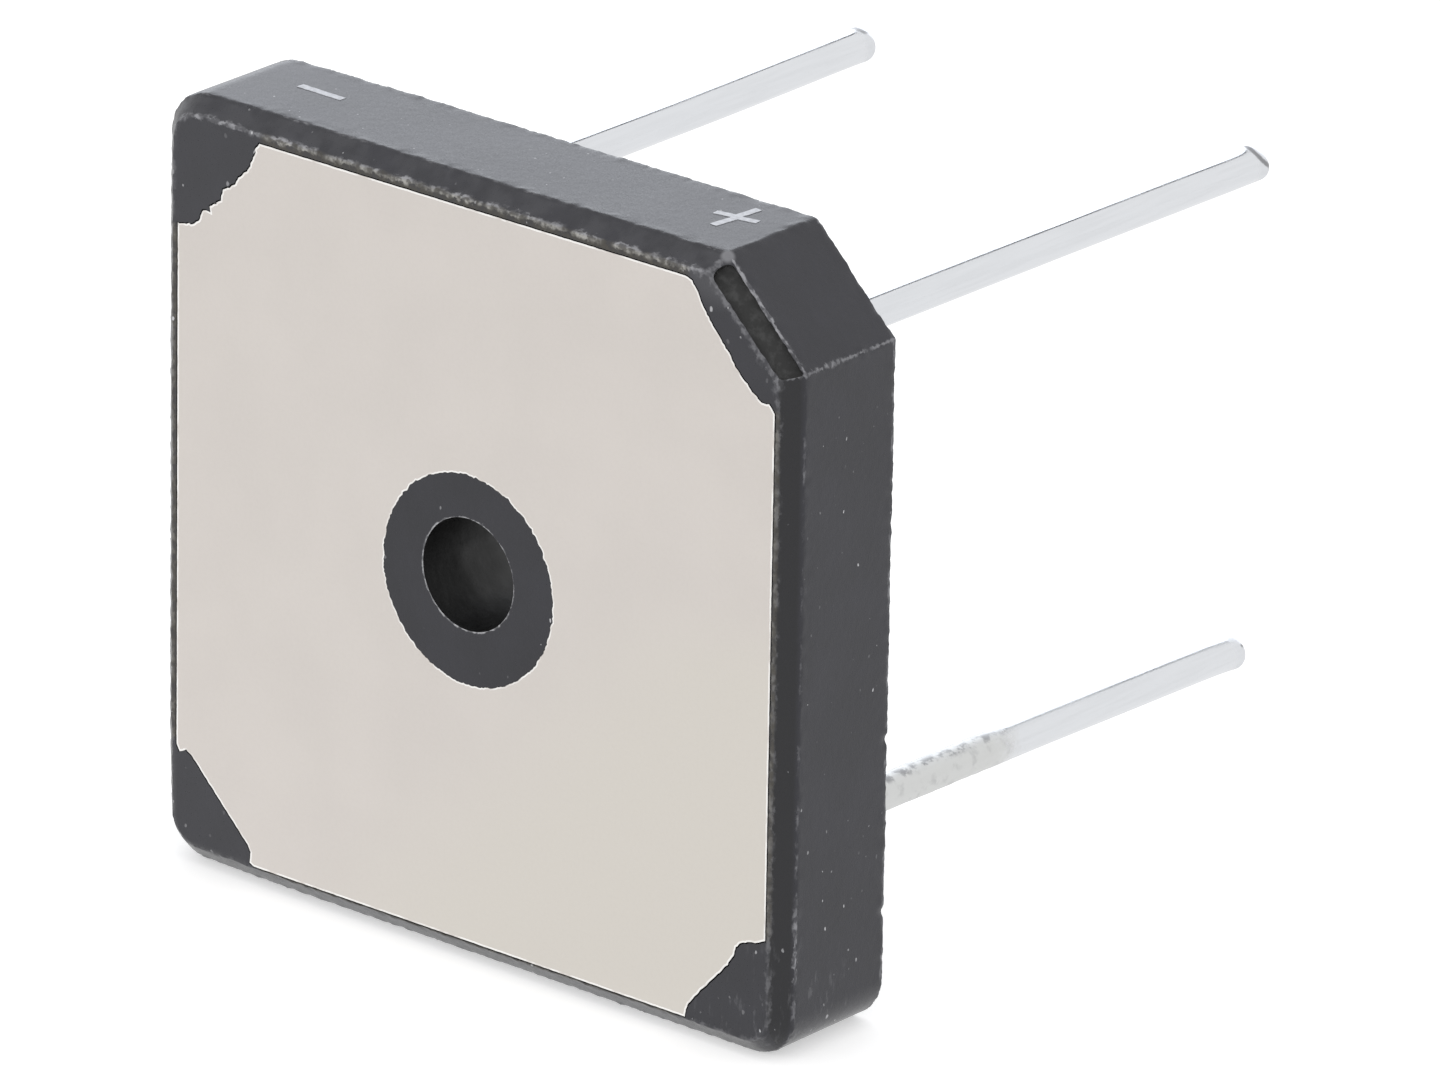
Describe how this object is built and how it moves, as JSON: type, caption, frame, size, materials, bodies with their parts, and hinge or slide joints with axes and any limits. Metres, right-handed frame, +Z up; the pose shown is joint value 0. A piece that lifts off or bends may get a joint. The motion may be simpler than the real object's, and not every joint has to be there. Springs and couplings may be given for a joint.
{
  "type": "bridge rectifier",
  "caption": "Square moulded bridge rectifier with a metal base plate, a central screw hole, a cut corner and round wire leads for a circuit board.",
  "frame": {"origin": "centre of the screw hole, on the outer face of the base plate", "axes": "the plate faces -Y and the leads leave along +Y; +Z is up, with the plus and minus leads at the top, and +X is towards the cut corner at the plus lead"},
  "size_m": [0.0286, 0.0322, 0.0286],
  "materials": {
    "compound": "black epoxy moulding compound, matt, worn grey on its edges",
    "plate": "nickel plated copper, satin",
    "insulation": "filled epoxy layer, matt",
    "copper": "bare copper sheet",
    "silicon": "silicon die, satin",
    "solder": "soft solder, satin",
    "lead_wire": "tinned copper wire, satin"
  },
  "bodies": {
    "root": {"moulded_body": "compound", "base_plate": "plate", "insulation_layer": "insulation", "land_plus": "copper", "land_minus": "copper", "land_ac_right": "copper", "land_ac_left": "copper", "diode_plus_right": "silicon", "diode_plus_left": "silicon", "diode_minus_right": "silicon", "diode_minus_left": "silicon", "solder_under_plus_right": "solder", "solder_under_plus_left": "solder", "solder_under_minus_right": "solder", "solder_under_minus_left": "solder", "solder_over_plus_right": "solder", "solder_over_plus_left": "solder", "solder_over_minus_right": "solder", "solder_over_minus_left": "solder", "clip_right": "copper", "clip_left": "copper", "strap_minus": "copper", "joint_plus": "solder", "joint_minus": "solder", "joint_ac_right": "solder", "joint_ac_left": "solder", "lead_plus": "lead_wire", "lead_minus": "lead_wire", "lead_ac_right": "lead_wire", "lead_ac_left": "lead_wire"}
  },
  "joints": []
}
